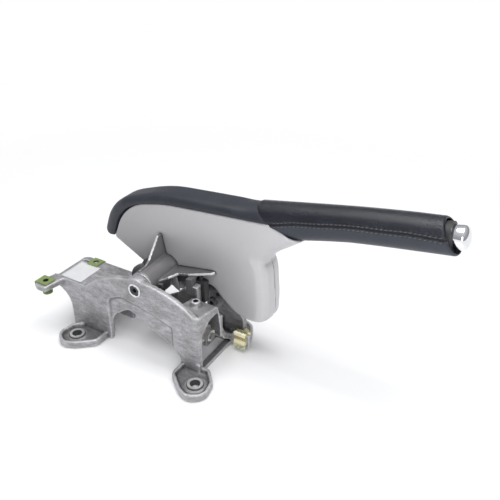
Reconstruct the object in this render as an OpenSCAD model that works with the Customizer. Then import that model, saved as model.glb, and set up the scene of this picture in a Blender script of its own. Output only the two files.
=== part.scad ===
// Parking brake lever on its die-cast floor bracket.
// X runs towards the grip, Y along the pivot shaft, Z up from the feet. The origin lies on the
// floor, midway between the two near bolts.

/* [Mounting feet] */
// Spacing of the two bolts in each row, along X
bolt_pitch = 146; // [140:1:152]
// Distance between the near and the far bolt row, along Y
row_pitch = 90; // [88:0.5:94]
// How far the far row sits towards the rear
row_shift = 7; // [5:0.5:9]
// Bolt hole in each foot bush
bolt_hole_d = 10; // [8:0.1:11]
// Outside of each foot bush
foot_bush_d = 15; // [13:0.1:16]
// Height of the rim round each foot
foot_rim_h = 8; // [7:0.5:10]
// Height of the floor inside the rim
foot_floor_h = 4.5; // [4:0.5:6]

/* [Casting] */
// Height of the pivot axis above the floor
pivot_z = 74; // [72:0.5:76]
// Crown of the hump wall above the pivot axis
hump_rise = 10.5; // [9:0.5:11]
// Radius of the hump outline
hump_r = 106; // [100:1:112]
// Thickness of the near wall
near_wall_t = 6; // [5:0.5:7]
// Thickness of the far wall
far_wall_t = 4; // [3:0.5:5]
// Clear width of the channel between the walls
channel_w = 32; // [30:0.5:34]
// Height of the rear plate's top face
plate_z = 56; // [54:0.5:57]
// Thickness of the rear plate
plate_t = 6; // [5:0.5:7]
// Wall left round the front portal
portal_t = 6; // [5:0.5:7]

/* [Pivot] */
// Bearing diameter of the shaft
shaft_d = 16; // [14:0.5:17]
// Diameter of the shaft end in the wall
shaft_end_d = 10; // [8:0.5:12]
// Wall of the hub bushes
bush_t = 2; // [1.5:0.25:2.5]
// Wall of the hub tube
hub_t = 3; // [2.5:0.25:3.5]
// Running clearance on radius
run_clear = 0.03; // [0.02:0.01:0.06]

/* [Lever] */
// Upward tilt of the lever at rest
lever_tilt = 10; // [9:0.5:11]
// Thickness of the cover across both halves
cover_w = 32; // [31:0.5:34]
// Wall of the cover shells
cover_wall = 2.5; // [2:0.25:3]
// Rounding of the cover's outer edge
cover_round = 12; // [9:0.5:13]
// Plate of the lever arm
arm_t = 2.5; // [2:0.25:3]
// Height of the grip axis above the pivot axis
grip_v = 54; // [52:0.5:56]
// Grip end, measured along the lever from the pivot axis
grip_end = 276; // [260:1:290]
// Outside of the grip tube
grip_tube_d = 18; // [17:0.5:19]
// Wall of the grip tube
grip_tube_t = 1.8; // [1.5:0.1:2.2]
// Thickness of the leather
leather_t = 1.8; // [1.4:0.1:2.2]

/* [Release] */
// Diameter of the push button
button_d = 19; // [17:0.5:20]
// How far the button stands out of the grip
button_out = 11.5; // [10:0.5:13]
// Diameter of the release rod
release_d = 5; // [4:0.5:6]
// Tip radius of the ratchet sector
sector_r = 66; // [64:0.5:67]
// Depth of the ratchet teeth
tooth_h = 3; // [2.5:0.25:3.5]
// Thickness of the sector and the pawl
sector_t = 4; // [3:0.5:5]

/* [Pull rod] */
// Drop of the trunnion axis below the pivot axis
trunnion_drop = 38; // [36:0.5:39]
// Diameter of the pull rod
rod_d = 7; // [6:0.5:8]
// Outside of the take-up spring
spring_d = 17; // [15:0.5:18]
// Half length of the equaliser bar
equaliser_half = 10; // [9:0.5:10]

/* [Hidden] */
$fn = 48;

// Gap between pieces that move past each other, and overlap of cutting tools
gap = 0.3;
cut = 1;

// Bolt holes: near right, near left, far right, far left
near_y = 0;
far_y = near_y + row_pitch;
front_x = bolt_pitch / 2;
FEET = [
    [front_x, near_y], [front_x - bolt_pitch, near_y],
    [front_x - row_shift, far_y], [front_x - row_shift - bolt_pitch, far_y]
];

// Casting planes
pivot_x = -3;
near_in = near_y + 22;
near_out = near_in - near_wall_t;
far_in = near_in + channel_w;
far_out = far_in + far_wall_t;
band_depth = 2;
portal_x = front_x - 6;
roof_x = portal_x - 29;
roof_near_z = 65;
roof_far_z = 59.5;
leg_front_x = front_x - 28;
leg_rear_x = front_x - bolt_pitch + 30;
plate_rear_x = front_x - bolt_pitch - 35;
plate_front_x = plate_rear_x + 66;
plate_far = far_out + 3;
tab_near = near_out - 23;
tab_x = plate_rear_x - 9;
nut_hole_r = 4;
tie_bar_h = 4;
tie_bar_w = 7;
edge_round = 6;

// Pivot stack along Y
shaft_r = shaft_d / 2;
bush_out_r = shaft_r + run_clear + bush_t;
hub_r = bush_out_r + hub_t;
boss_r = hub_r - 0.5;
boss_end = near_in + 4;
shaft_seat = boss_end - 6;
washer_t = 0.9;
hub_start = boss_end + washer_t + 0.1;

// Lever planes
lever_y = near_in + 61;
cover_near_y = lever_y - cover_w / 2;
cover_far_y = lever_y + cover_w / 2;
tube_r = grip_tube_d / 2;
arm_near = lever_y - tube_r - arm_t;
arm_far = lever_y + tube_r + arm_t;
hub_end = arm_far;
gusset_t = 2.5;

// Lever outlines, along and above the lever from the pivot axis
rear_low = [-63, 25.6];
COVER = [
    [rear_low[0], rear_low[1], 2], [6.3, -29, 10], [101.5, -47.5, 10], [107.5, -21, 60],
    [111, 2, 40], [110.5, 14, 3], [125, 25.5, 30], [154.4, grip_v - 14.6, 1.5],
    [137.6, grip_v - 6, 40], [124, grip_v + 2, 2], [14, 66.6, 150], [-38, 64, 55]
];
TRIM = [
    [rear_low[0] - 0.3, rear_low[1] + 0.6, 1], [-38.3, 64.6, 55], [14, 67.1, 150],
    [124.8, grip_v + 2.4, 0.6], [115.2, grip_v + 12, 2], [6, 76.5, 150], [-58, 66, 55], [-80.5, 28, 4]
];

// Grip section: centre line, half height and half width along the lever
grip_start = 146;
function grip_mid(u) = grip_v + 2.6 * sin(180 * (u - 100) / (grip_end - 88));
function grip_high(u) = 15.1 + 1.6 * pow(max(0, (190 - u) / 80), 2) - 0.3 * max(0, (u - 250) / 26);
function grip_wide(u) = 15.3 + 0.4 * max(0, (170 - u) / 60);
// Where the leather starts at a given height, and where it ends
function grip_from(v) = let (low = max(0, grip_v + 12 - v)) 117 + 0.75 * low + 0.028 * low * low;
function grip_to(v) = grip_end + 1.5 - 0.16 * (v - grip_v);

// Release train
rod_r = release_d / 2;
tube_start = 96;
tube_end = grip_end - 10;
stem_rear = tube_end - 16;
guide_front = stem_rear - 18;
pawl_r = sector_r + 12;
pawl_turn = 16;
pawl_u = pawl_r * cos(pawl_turn);
pawl_v = pawl_r * sin(pawl_turn);
pawl_pin_r = 4;
tail_u = pawl_u + 3;
nose_r = sector_r + 0.4;
web_in = hub_r + 5;
web_r = hub_r + 22;
web_low = -115;
sector_near = lever_y - sector_t / 2;
sector_far = lever_y + sector_t / 2;
sector_low = -44;
teeth_from = 0;
teeth_step = 4;
teeth_count = 12;
upstand_far = sector_far + 6.5;
SECTOR_BOLTS = [-24, -39];
sector_bolt_r = sector_r - 9;
sector_screw_r = 3;

// Pull rod train
rod_y = (near_in + far_in) / 2 + 4.5;
rod_tilt = 5.3;
trunnion_x = pivot_x - 10;
rod_z = pivot_z - trunnion_drop;
trunnion_r = 8;
trunnion_half = 5.5;
pull_arm_t = 3;
journal_r = 4;
rod_front = portal_x - 1;
spring_wire = 2.4;
nut_h = 6.5;
pull_washer_t = 2;
washer_front = rod_front - nut_h - 2;
clevis_x = trunnion_x - 52;
clevis_l = 20;
bar_t = 5;
pin_r = 3;

// Stop, switch and clips
stop_x = 34.5;
stop_half = 3.4;
switch_x = 41;
lug_from = 19.5;
lug_to = 44;
lug_near = far_in - 4;
lug_z = 72;
lug_notch_z = 64;
gusset_low = gusset_t / 2;
clip_t = 1.2;
clip_tab_y = far_y - 20;
clip_tab_t = 3.5;
clip_tab_x = front_x - row_shift + 14;
clip_tab_z = 19.5;
clip_hole_drop = 6;

function xy(p) = [p[0], p[1]];
function unit(v) = v / norm(v);
function cross2(a, b) = a[0] * b[1] - a[1] * b[0];
function wrap(i, n) = (i + n) % n;

// Arc of radius r that rounds the corner q between p and s
function corner(p, q, s, r, n) =
    r <= 0 ? [q] :
    let (
        a = unit(p - q),
        b = unit(s - q),
        half = acos(a * b) / 2,
        mid = q + unit(a + b) * r / sin(half),
        from = q + a * r / tan(half) - mid,
        to = q + b * r / tan(half) - mid,
        start = atan2(from[1], from[0]),
        sweep = (atan2(to[1], to[0]) - start + 540) % 360 - 180
    )
    [for (i = [0:n]) mid + r * [cos(start + sweep * i / n), sin(start + sweep * i / n)]];

// Outline through points [x, y, radius]
function rounded(pts, n = 5) = [
    for (i = [0:len(pts) - 1])
        each corner(
            xy(pts[wrap(i - 1, len(pts))]), xy(pts[i]), xy(pts[wrap(i + 1, len(pts))]), pts[i][2], n
        )
];

// Anticlockwise outline with edge i (from point i on) moved inwards by depths[i]
function inset(pts, depths) = [
    for (i = [0:len(pts) - 1])
        let (
            n = len(pts),
            q = xy(pts[i]),
            d0 = unit(q - xy(pts[wrap(i - 1, n)])),
            d1 = unit(xy(pts[wrap(i + 1, n)]) - q),
            n0 = [-d0[1], d0[0]],
            n1 = [-d1[1], d1[0]],
            a = depths[wrap(i - 1, n)],
            b = depths[i],
            det = cross2(n0, n1),
            move = abs(det) < 0.01 ? n0 * a : [a * n1[1] - b * n0[1], b * n0[0] - a * n1[0]] / det,
            r = pts[i][2] - (det > 0 ? 1 : -0.5) * max(a, b)
        )
        [q[0] + move[0], q[1] + move[1], pts[i][2] <= 0 ? 0 : max(pts[i][2] / 2, r)]
];

function evenly(pts, d) = inset(pts, [for (p = pts) d]);

function quad(a, b, c, d) = [[a, b, c], [b, d, c]];

// Solid between rings that have the same number of points
module loft(rings) {
    n = len(rings[0]);
    last = (len(rings) - 1) * n;
    polyhedron(
        points = [for (r = rings) each r],
        faces = concat(
            [[for (i = [n - 1:-1:0]) i]],
            [for (j = [0:len(rings) - 2], i = [0:n - 1])
                let (k = wrap(i + 1, n))
                each quad(j * n + i, j * n + k, (j + 1) * n + i, (j + 1) * n + k)],
            [[for (i = [0:n - 1]) last + i]]
        )
    );
}

// Ring of a side outline at depth y, with per_corner points at each rounded corner
per_corner = 8;
function side_ring(pts, y) = [for (p = rounded(pts, per_corner - 1)) [p[0], y, p[1]]];

// Rings of a side outline from the face at y0 inwards, rounded by r where an edge's share is 1
function rounding(pts, y0, way, r, shares, steps = 3) = [
    for (i = [0:steps])
        let (a = 90 * i / steps)
        side_ring(inset(pts, [for (k = shares) k * r * (1 - sin(a))]), y0 + way * r * (1 - cos(a)))
];

module across(y0, y1)
    translate([0, y1, 0]) rotate([90, 0, 0]) linear_extrude(y1 - y0) children();

module lengthwise(x0, x1)
    translate([x0, 0, 0]) rotate([90, 0, 90]) linear_extrude(x1 - x0) children();

module pin_y(x, z, y0, y1, r)
    translate([x, y0, z]) rotate([-90, 0, 0]) cylinder(h = y1 - y0, r = r);

module pin_x(x0, x1, y, z, r)
    translate([x0, y, z]) rotate([0, 90, 0]) cylinder(h = x1 - x0, r = r);

module pin_z(x, y, z0, z1, r)
    translate([x, y, z0]) cylinder(h = z1 - z0, r = r);

module lever_frame()
    translate([pivot_x, 0, pivot_z]) rotate([0, -lever_tilt, 0]) children();

// Spring of round wire wound round the X axis from x0 to x1
module coil_x(x0, x1, outer_r, wire, turns) {
    mid_r = outer_r - wire / 2;
    per_turn = 14;
    sides = 6;
    steps = turns * per_turn;
    span = x1 - x0 - wire;
    rings = [for (i = [0:steps])
        let (a = 360 * i / per_turn, x = x0 + wire / 2 + span * i / steps)
        [for (k = [0:sides - 1])
            let (b = 360 * k / sides, r = mid_r + wire / 2 * cos(b))
            [x + wire / 2 * sin(b), r * cos(a), r * sin(a)]]];
    loft(rings);
}

// Foot outlines in plan, held to the bolt hole h and to the walls
function near_foot(h, side) = [
    [h[0] - side * 27, near_out + 2, 1], [h[0] - side * 27, h[1], 5],
    [h[0] - side * 11, h[1] - 13.5, 8], [h[0] + side * 3, h[1] - 20.5, 13],
    [h[0] + side * 17.5, h[1] - 9, 12], [h[0] + side * 14, h[1] + 9, 8],
    [h[0] + side * 2, near_in, 3]
];
function far_foot(h, inner, outer, near_edge) = [
    [h[0] + inner, near_edge, 3], [h[0] + outer, near_edge, 6],
    [h[0] + outer + sign(outer) * 4, h[1] - 6, 9],
    [h[0] + outer * 0.75, h[1] + 11, 12], [h[0] - sign(outer) * 4, h[1] + 17, 10],
    [h[0] + inner * 0.8, h[1] + 14, 8], [h[0] + inner, h[1] + 2, 5]
];
function turned(pts, side) = side > 0 ? pts : [for (i = [len(pts) - 1:-1:0]) pts[i]];

FOOT_OUTLINES = [
    turned(near_foot(FEET[0], 1), 1), turned(near_foot(FEET[1], -1), -1),
    turned(far_foot(FEET[2], -33, 14, far_y - 17), 1), turned(far_foot(FEET[3], 18, -14, far_in + 1), -1)
];

module foot_pad(i) {
    rim = 3;
    difference() {
        linear_extrude(foot_rim_h) polygon(rounded(FOOT_OUTLINES[i]));
        translate([0, 0, foot_floor_h])
            linear_extrude(foot_rim_h) polygon(rounded(evenly(FOOT_OUTLINES[i], rim)));
    }
    pin_z(FEET[i][0], FEET[i][1], 0, foot_floor_h + 1, foot_bush_d / 2 + 2.5);
}

// Arched opening of the near wall between its two legs
module near_window()
    polygon(rounded([
        [leg_rear_x + 1, -cut, 0], [leg_front_x + 1, -cut, 0], [leg_front_x - 1, 16, 8],
        [leg_front_x - 40, 36, 40], [leg_rear_x + 27, 46, 11], [leg_rear_x + 5, 30, 16]
    ]));

// Recessed band between the window and the raised bead above it
module near_band()
    polygon(rounded([
        [leg_rear_x + 2, 8, 0], [leg_front_x + 4, 8, 0], [leg_front_x - 2, 43.5, 6],
        [leg_front_x - 32, 53, 60], [leg_rear_x + 20, 59.5, 12], [leg_rear_x + 3, 51, 9]
    ]));

module hump_outline() {
    intersection() {
        translate([pivot_x + 6, pivot_z + hump_rise - hump_r]) circle(r = hump_r, $fn = 160);
        translate([plate_front_x - 30, 0]) square([portal_x - plate_front_x + 30, pivot_z + hump_rise]);
    }
    translate([plate_rear_x, 0]) square([plate_front_x - plate_rear_x, plate_z]);
}

module near_wall() {
    scoop_r = 22;
    difference() {
        across(near_out, near_in) difference() {
            hump_outline();
            near_window();
            translate([plate_rear_x - 6, plate_z - plate_t - scoop_r - 5]) circle(r = scoop_r);
            translate([plate_rear_x - cut, -cut]) square([17, plate_z - plate_t - scoop_r + 1]);
        }
        across(near_out - cut, near_out + band_depth) near_band();
    }
}

module far_wall()
    across(far_in, far_out) difference() {
        polygon(rounded([
            [plate_rear_x + 16, 0, 0], [portal_x, 0, 0], [portal_x, 45, 0], [lug_from + 2, 58, 6],
            [lug_from - 22, 44, 14], [plate_front_x + 16, 44, 14], [plate_front_x, plate_z, 4],
            [plate_rear_x, plate_z, 0], [plate_rear_x, plate_z - 18, 8]
        ]));
        polygon(rounded([
            [leg_rear_x - 2, -cut, 0], [portal_x + cut, -cut, 0], [portal_x + cut, 20, 0],
            [roof_x - 4, 26, 12], [leg_rear_x + 6, 28, 14]
        ]));
        // Room for the clip nut under the plate
        translate([rear_nuts()[1][0] - 8, plate_z - plate_t - 10]) square([16, 10]);
    }

module rear_plate() {
    difference() {
        union() {
            translate([0, 0, plate_z - plate_t]) linear_extrude(plate_t) polygon(rounded([
                [plate_rear_x, near_out, 3], [plate_front_x, near_out, 0], [plate_front_x, plate_far, 3],
                [plate_rear_x, plate_far, 5]
            ]));
            translate([0, 0, plate_z - plate_t]) linear_extrude(plate_t) polygon(rounded([
                [tab_x, tab_near, 4], [tab_x + 16, tab_near, 4], [tab_x + 20, near_out + 3, 0],
                [tab_x + 5, near_out + 3, 0]
            ]));
        }
        translate([plate_rear_x + 3, plate_far - 9, plate_z - plate_t - cut])
            cube([9, 6, plate_t + 2 * cut]);
        for (p = rear_nuts()) pin_z(p[0], p[1], plate_z - plate_t - cut, plate_z + cut, nut_hole_r);
    }
}

function rear_nuts() = [[tab_x + 8, tab_near + 10], [plate_rear_x + 19, plate_far - 6]];

// Section of the front portal, across Y and Z
module portal_outer()
    polygon(rounded([
        [near_out, 0, 0], [far_y - 12, 0, 0], [far_y - 12, foot_rim_h, 2], [far_out + 5, 20, 8],
        [far_out - 1, 32, 14], [far_in - 3, roof_far_z, 4], [near_out, roof_near_z + 1, 3]
    ]));
module portal_inner()
    polygon(rounded([
        [near_in - 2, tie_bar_h, 4], [far_y - 16, tie_bar_h, 1], [far_in + 5, 15, 9], [far_in, 30, 14],
        [far_in - 3, roof_far_z - portal_t - 1, 4], [near_in + 15, roof_far_z - portal_t - 1, 12],
        [near_in, 43, 14], [near_in - 2, 24, 8]
    ]));

module front_portal() {
    difference() {
        lengthwise(roof_x, portal_x) difference() {
            portal_outer();
            portal_inner();
        }
        across(near_out - cut, near_in + cut) near_window();
        // Behind the tie bar the floor stays open
        translate([roof_x - cut, near_in, -cut])
            cube([portal_x - tie_bar_w - roof_x + cut, far_y - 16 - near_in, tie_bar_h + 2 * cut]);
    }
    // Boss with a blind hole on the roof
    difference() {
        pin_z(roof_x + 12, near_in + 17, roof_far_z - portal_t, roof_near_z + 2.5, 4.5);
        pin_z(roof_x + 12, near_in + 17, roof_near_z - 5, roof_near_z + 4, 2.2);
    }
}

// Stop lug on the far wall, with a notch that seats the rubber buffer
module stop_lug() {
    across(lug_near, far_out) polygon([
        [lug_from, 45], [lug_to, 49], [lug_to - 0.5, lug_z], [stop_x + stop_half, lug_z],
        [stop_x + stop_half, lug_notch_z], [stop_x - stop_half, lug_notch_z],
        [stop_x - stop_half, lug_z - 4], [stop_x - stop_half - 2, lug_z - 4], [lug_from, 58.5]
    ]);
}

module sector_upstand() {
    low_x = FEET[2][0] - 36;
    across(sector_far, upstand_far) polygon(rounded([
        [low_x, 0, 0], [low_x + 44, 0, 0], [low_x + 44, 26, 5], [low_x + 37, 32, 5], [low_x + 28, 32, 6],
        [pivot_x + 62, 56, 5], [pivot_x + 40, 56, 8], [low_x, 34, 8]
    ]));
    // Rib from the upstand to the far wall
    translate([low_x + 14, far_in + 1, 0]) rotate([90, 0, 90]) linear_extrude(5)
        polygon([[0, 0], [sector_far - far_in, 0], [sector_far - far_in, 22], [14, 14], [0, 30]]);
}

module clip_tab() {
    low_x = FEET[2][0] + 6;
    difference() {
        across(clip_tab_y, clip_tab_y + clip_tab_t) polygon(rounded([
            [low_x - 4, 2, 0], [clip_tab_x + 9.5, 2, 1], [clip_tab_x + 9.5, clip_tab_z, 2],
            [clip_tab_x - 9, clip_tab_z, 2], [low_x - 4, 12, 0]
        ]));
        pin_y(
            clip_tab_x, clip_tab_z - clip_hole_drop,
            clip_tab_y - cut, clip_tab_y + clip_tab_t + cut, nut_hole_r
        );
    }
}

module bracket_casting() {
    color("silver") difference() {
        union() {
            near_wall();
            pin_y(pivot_x, pivot_z, near_out, boss_end, boss_r);
            far_wall();
            rear_plate();
            front_portal();
            stop_lug();
            for (i = [0:3]) foot_pad(i);
            sector_upstand();
            clip_tab();
        }
        pin_y(pivot_x, pivot_z, near_out - cut, near_in, shaft_end_d / 2);
        pin_y(pivot_x, pivot_z, shaft_seat, boss_end + cut, shaft_r);
        // Rounded corner between the near wall and the portal
        translate([portal_x - edge_round, near_out + edge_round, foot_rim_h + 4])
            linear_extrude(pivot_z) difference() {
                translate([0, -edge_round - cut]) square(edge_round + cut);
                circle(r = edge_round);
            }
        for (p = FEET) pin_z(p[0], p[1], -cut, foot_rim_h + cut, foot_bush_d / 2);
        for (a = SECTOR_BOLTS)
            pin_y(
                pivot_x + sector_bolt_r * cos(a), pivot_z + sector_bolt_r * sin(a),
                sector_far - cut, upstand_far + cut, sector_screw_r
            );
    }
}

module foot_bushes() {
    color("lightgrey") for (p = FEET) difference() {
        pin_z(p[0], p[1], 0, foot_floor_h + 2, foot_bush_d / 2);
        pin_z(p[0], p[1], -cut, foot_floor_h + 2 + cut, bolt_hole_d / 2);
    }
}

module pivot_shaft() {
    color("dimgray") difference() {
        union() {
            pin_y(pivot_x, pivot_z, near_out - 0.6, shaft_seat, shaft_end_d / 2);
            pin_y(pivot_x, pivot_z, shaft_seat, hub_end + 1.7, shaft_r);
        }
        pin_y(pivot_x, pivot_z, near_out - cut, near_out + 3, 2.6, $fn = 6);
        difference() {
            pin_y(pivot_x, pivot_z, hub_end + 0.2, hub_end + 1.3, shaft_r + cut);
            pin_y(pivot_x, pivot_z, hub_end, hub_end + 2, shaft_r - 1);
        }
    }
}

module thrust_washer() {
    color("goldenrod") difference() {
        pin_y(pivot_x, pivot_z, boss_end, boss_end + washer_t, hub_r - 0.5);
        pin_y(pivot_x, pivot_z, boss_end - cut, boss_end + 2, shaft_r);
    }
}

module shaft_retainer() {
    color("gray") difference() {
        pin_y(pivot_x, pivot_z, hub_end + 0.2, hub_end + 1.3, shaft_r + 3);
        pin_y(pivot_x, pivot_z, hub_end, hub_end + 2, shaft_r - 1);
        translate([pivot_x, hub_end, pivot_z - 1.5]) cube([40, 4, 3]);
    }
}

// Saw teeth round the pivot axis: steep on the lower side, sloping above
function tooth_ring() = [
    for (i = [0:teeth_count - 1])
        let (a = teeth_from + i * teeth_step)
        each [
            sector_r * [cos(a), sin(a)],
            (sector_r - tooth_h) * [cos(a + 0.4), sin(a + 0.4)],
            (sector_r - tooth_h) * [cos(a + 1.0), sin(a + 1.0)]
        ]
];
function arc_points(r, a0, a1, n) = [
    for (i = [0:n])
        let (a = a0 + (a1 - a0) * i / n)
        r * [cos(a), sin(a)]
];

module ratchet_sector() {
    teeth_end = teeth_from + teeth_count * teeth_step;
    color("slategray") difference() {
        translate([pivot_x, 0, pivot_z]) across(sector_near, sector_far) polygon(concat(
            arc_points(sector_r, sector_low, teeth_from - 2, 14), tooth_ring(),
            arc_points(sector_r, teeth_end, teeth_end + 2, 1),
            arc_points(web_in, teeth_end + 2, web_low, 24),
            arc_points(web_r, web_low, sector_low - 14, 8)
        ));
        for (a = SECTOR_BOLTS)
            pin_y(
                pivot_x + sector_bolt_r * cos(a), pivot_z + sector_bolt_r * sin(a),
                sector_near - cut, sector_far + cut, sector_screw_r
            );
    }
}

module sector_screws() {
    color("dimgray") for (a = SECTOR_BOLTS)
        translate([pivot_x + sector_bolt_r * cos(a), 0, pivot_z + sector_bolt_r * sin(a)]) difference() {
            union() {
                pin_y(0, 0, sector_near - 4, sector_near, 5);
                pin_y(0, 0, sector_near, upstand_far, sector_screw_r);
            }
            pin_y(0, 0, sector_near - 5, sector_near - 1.6, 2.5, $fn = 6);
        }
}

// Spring clip nut: two leaves folded round a plate of thickness t, nut barrel below.
// The plate's edge lies at y = 0 and its top at z = 0, and the clip reaches to y = reach, where the
// upper leaf may turn up by a lip.
module clip_nut(t, w, reach, hole_y, lip = 0) {
    difference() {
        union() {
            translate([-w / 2, 0, 0]) lengthwise(0, w) difference() {
                polygon(rounded([
                    [-clip_t, -t - clip_t, 1.5], [reach, -t - clip_t, 0],
                    [reach, clip_t, 0], [-clip_t, clip_t, 1.5]
                ]));
                translate([0, -t]) square([reach + cut, t]);
            }
            if (lip > 0) translate([-w / 2, 0, 0]) lengthwise(0, w) polygon([
                [reach - clip_t, 0], [reach, 0], [reach + lip, lip], [reach + lip - clip_t, lip + clip_t]
            ]);
            pin_z(0, hole_y, -t - clip_t - 6, -t, 5);
        }
        pin_z(0, hole_y, -t - clip_t - 8, clip_t + 4, 3);
    }
}

module rear_clip_nuts() {
    a = rear_nuts()[0];
    b = rear_nuts()[1];
    color("olivedrab") {
        translate([tab_x, a[1], plate_z]) rotate([0, 0, -90]) clip_nut(plate_t, 13, 15, a[0] - tab_x);
        translate([b[0], plate_far, plate_z]) rotate([0, 0, 180])
            clip_nut(plate_t, 13, 13, plate_far - b[1]);
    }
}

module front_clip_nut() {
    color("gold") translate([clip_tab_x, clip_tab_y, clip_tab_z]) rotate([-90, 0, 0])
        mirror([0, 0, 1]) clip_nut(clip_tab_t, 13, clip_hole_drop + 5.5, clip_hole_drop, 4);
}

// Height of the flat gusset's underside over a place along X
function gusset_under(x) = pivot_z + (x - pivot_x) * tan(lever_tilt) - gusset_low / cos(lever_tilt);

module stop_buffer() {
    color([0.1, 0.1, 0.1]) across(lug_near, far_out) polygon([
        [stop_x - stop_half, lug_notch_z], [stop_x + stop_half, lug_notch_z],
        [stop_x + stop_half, gusset_under(stop_x + stop_half) - gap],
        [stop_x - stop_half, gusset_under(stop_x - stop_half) - gap]
    ]);
}

module switch_body() {
    low = 52;
    top = gusset_under(switch_x) - 6;
    near = far_out;
    color([0.12, 0.12, 0.12]) difference() {
        translate([switch_x - 6, near, low]) cube([12, cover_near_y - 1.5 - near, top - low]);
        pin_z(switch_x, (near + cover_near_y - 1.5) / 2, low + 6, top + cut, 2.1);
    }
}

module switch_plunger() {
    top = gusset_under(switch_x - 2) - gap;
    color("whitesmoke")
        pin_z(switch_x, (far_out + cover_near_y - 1.5) / 2, top - 14, top, 1.8);
}

module lever_hub() {
    tall = 22;
    long = 56;
    skin = cover_near_y;
    color([0.45, 0.43, 0.4]) lever_frame() {
        difference() {
            union() {
                pin_y(0, 0, hub_start, hub_end, hub_r);
                // Upright gusset
                translate([-gusset_t / 2, 0, 0]) lengthwise(0, gusset_t) polygon([
                    [hub_start + 0.5, hub_r - 2], [hub_start + 0.5, hub_r + 2], [skin - 30, hub_r + 2.5],
                    [skin - 24, hub_r + 5], [skin - 8, hub_r + tall - 3], [skin - 5, hub_r + tall],
                    [arm_near, hub_r + tall], [arm_near, hub_r - 2]
                ]);
                // Flat gusset
                translate([0, 0, -gusset_t / 2]) linear_extrude(gusset_t) polygon([
                    [hub_r - 2, skin - 30], [hub_r + 1, skin - 30], [23, skin - 13], [34, skin - 11.5],
                    [long, skin - 4], [long + 2, skin - 1], [long + 2, arm_near], [hub_r - 2, arm_near]
                ]);
            }
            pin_y(0, 0, hub_start - cut, hub_end + cut, bush_out_r);
        }
    }
}

module hub_bushes() {
    bush_l = 18;
    color("peru") for (y0 = [hub_start, hub_end - bush_l]) difference() {
        pin_y(pivot_x, pivot_z, y0, y0 + bush_l, bush_out_r);
        pin_y(pivot_x, pivot_z, y0 - cut, y0 + bush_l + cut, shaft_r + run_clear);
    }
}

module arm_outline() {
    circle(r = hub_r + 8);
    polygon(rounded([
        [-6, -hub_r - 6, 0], [24, -hub_r - 5, 6], [44, -6, 12], [91, -20, 14], [98.5, 6, 30],
        [112, grip_v, 2], [60, grip_v, 30], [-8, hub_r + 7, 0]
    ]));
}

module lever_arm() {
    web_u = 95;
    color("darkgray") lever_frame() difference() {
        union() {
            across(arm_near, arm_near + arm_t) arm_outline();
            across(arm_far - arm_t, arm_far) arm_outline();
            translate([web_u, arm_near, 9]) cube([arm_t, arm_far - arm_near, 28]);
        }
        pin_y(0, 0, arm_near - cut, arm_far + cut, hub_r);
        pin_y(pawl_u, pawl_v, arm_near - cut, arm_far + cut, pawl_pin_r);
        // Lightening holes
        pin_y(83, -2, arm_near - cut, arm_far + cut, 9);
        pin_y(44, 20, arm_near - cut, arm_far + cut, 10);
    }
}

module pawl_pin() {
    color("gray") lever_frame() pin_y(pawl_u, pawl_v, arm_near - 1, arm_far + 1, pawl_pin_r);
}

module pull_arm() {
    arm_x = trunnion_x - pivot_x;
    color("darkgray") for (y0 = [rod_y - trunnion_half - gap - pull_arm_t, rod_y + trunnion_half + gap])
        translate([pivot_x, 0, pivot_z]) difference() {
            union() {
                pin_y(0, 0, y0, y0 + pull_arm_t, hub_r + 5);
                pin_y(arm_x, -trunnion_drop, y0, y0 + pull_arm_t, journal_r + 3.5);
                across(y0, y0 + pull_arm_t) polygon([
                    [-hub_r - 4, -3], [arm_x - journal_r - 3, -trunnion_drop],
                    [arm_x + journal_r + 0.5, -trunnion_drop], [hub_r + 3, -6]
                ]);
            }
            pin_y(0, 0, y0 - cut, y0 + pull_arm_t + cut, hub_r);
            // The ring leaves out the quarter between the hub's gussets
            rotate([0, -lever_tilt, 0]) translate([-gusset_t / 2, y0 - cut, -gusset_t / 2])
                cube([hub_r + 10, pull_arm_t + 2 * cut, hub_r + 10]);
            pin_y(arm_x, -trunnion_drop, y0 - cut, y0 + pull_arm_t + cut, journal_r + run_clear);
        }
}

module grip_tube() {
    color("gray") lever_frame() difference() {
        pin_x(tube_start, tube_end, lever_y, grip_v, tube_r);
        pin_x(tube_start - cut, tube_end + cut, lever_y, grip_v, tube_r - grip_tube_t);
    }
}

module rod_guide() {
    color("ivory") lever_frame() difference() {
        pin_x(guide_front - 8, guide_front, lever_y, grip_v, tube_r - grip_tube_t);
        pin_x(guide_front - 9, guide_front + cut, lever_y, grip_v, rod_r + 0.1);
    }
}

// Cover half as one moulded shell: a skin all over, and an edge wall along the front and the top,
// so that it stays open below and at the grip.
walled = [0, 0, 1, 1, 1, 1, 1, 0, 0, 1, 1, 1];
walls_from = [2 * per_corner, 10 * per_corner - 1];
walls_to = [7 * per_corner, 12 * per_corner];
cover_shares = [0, 0, 1, 1, 1, 1, 1, 0, 0, 0, 0, 0];

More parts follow.
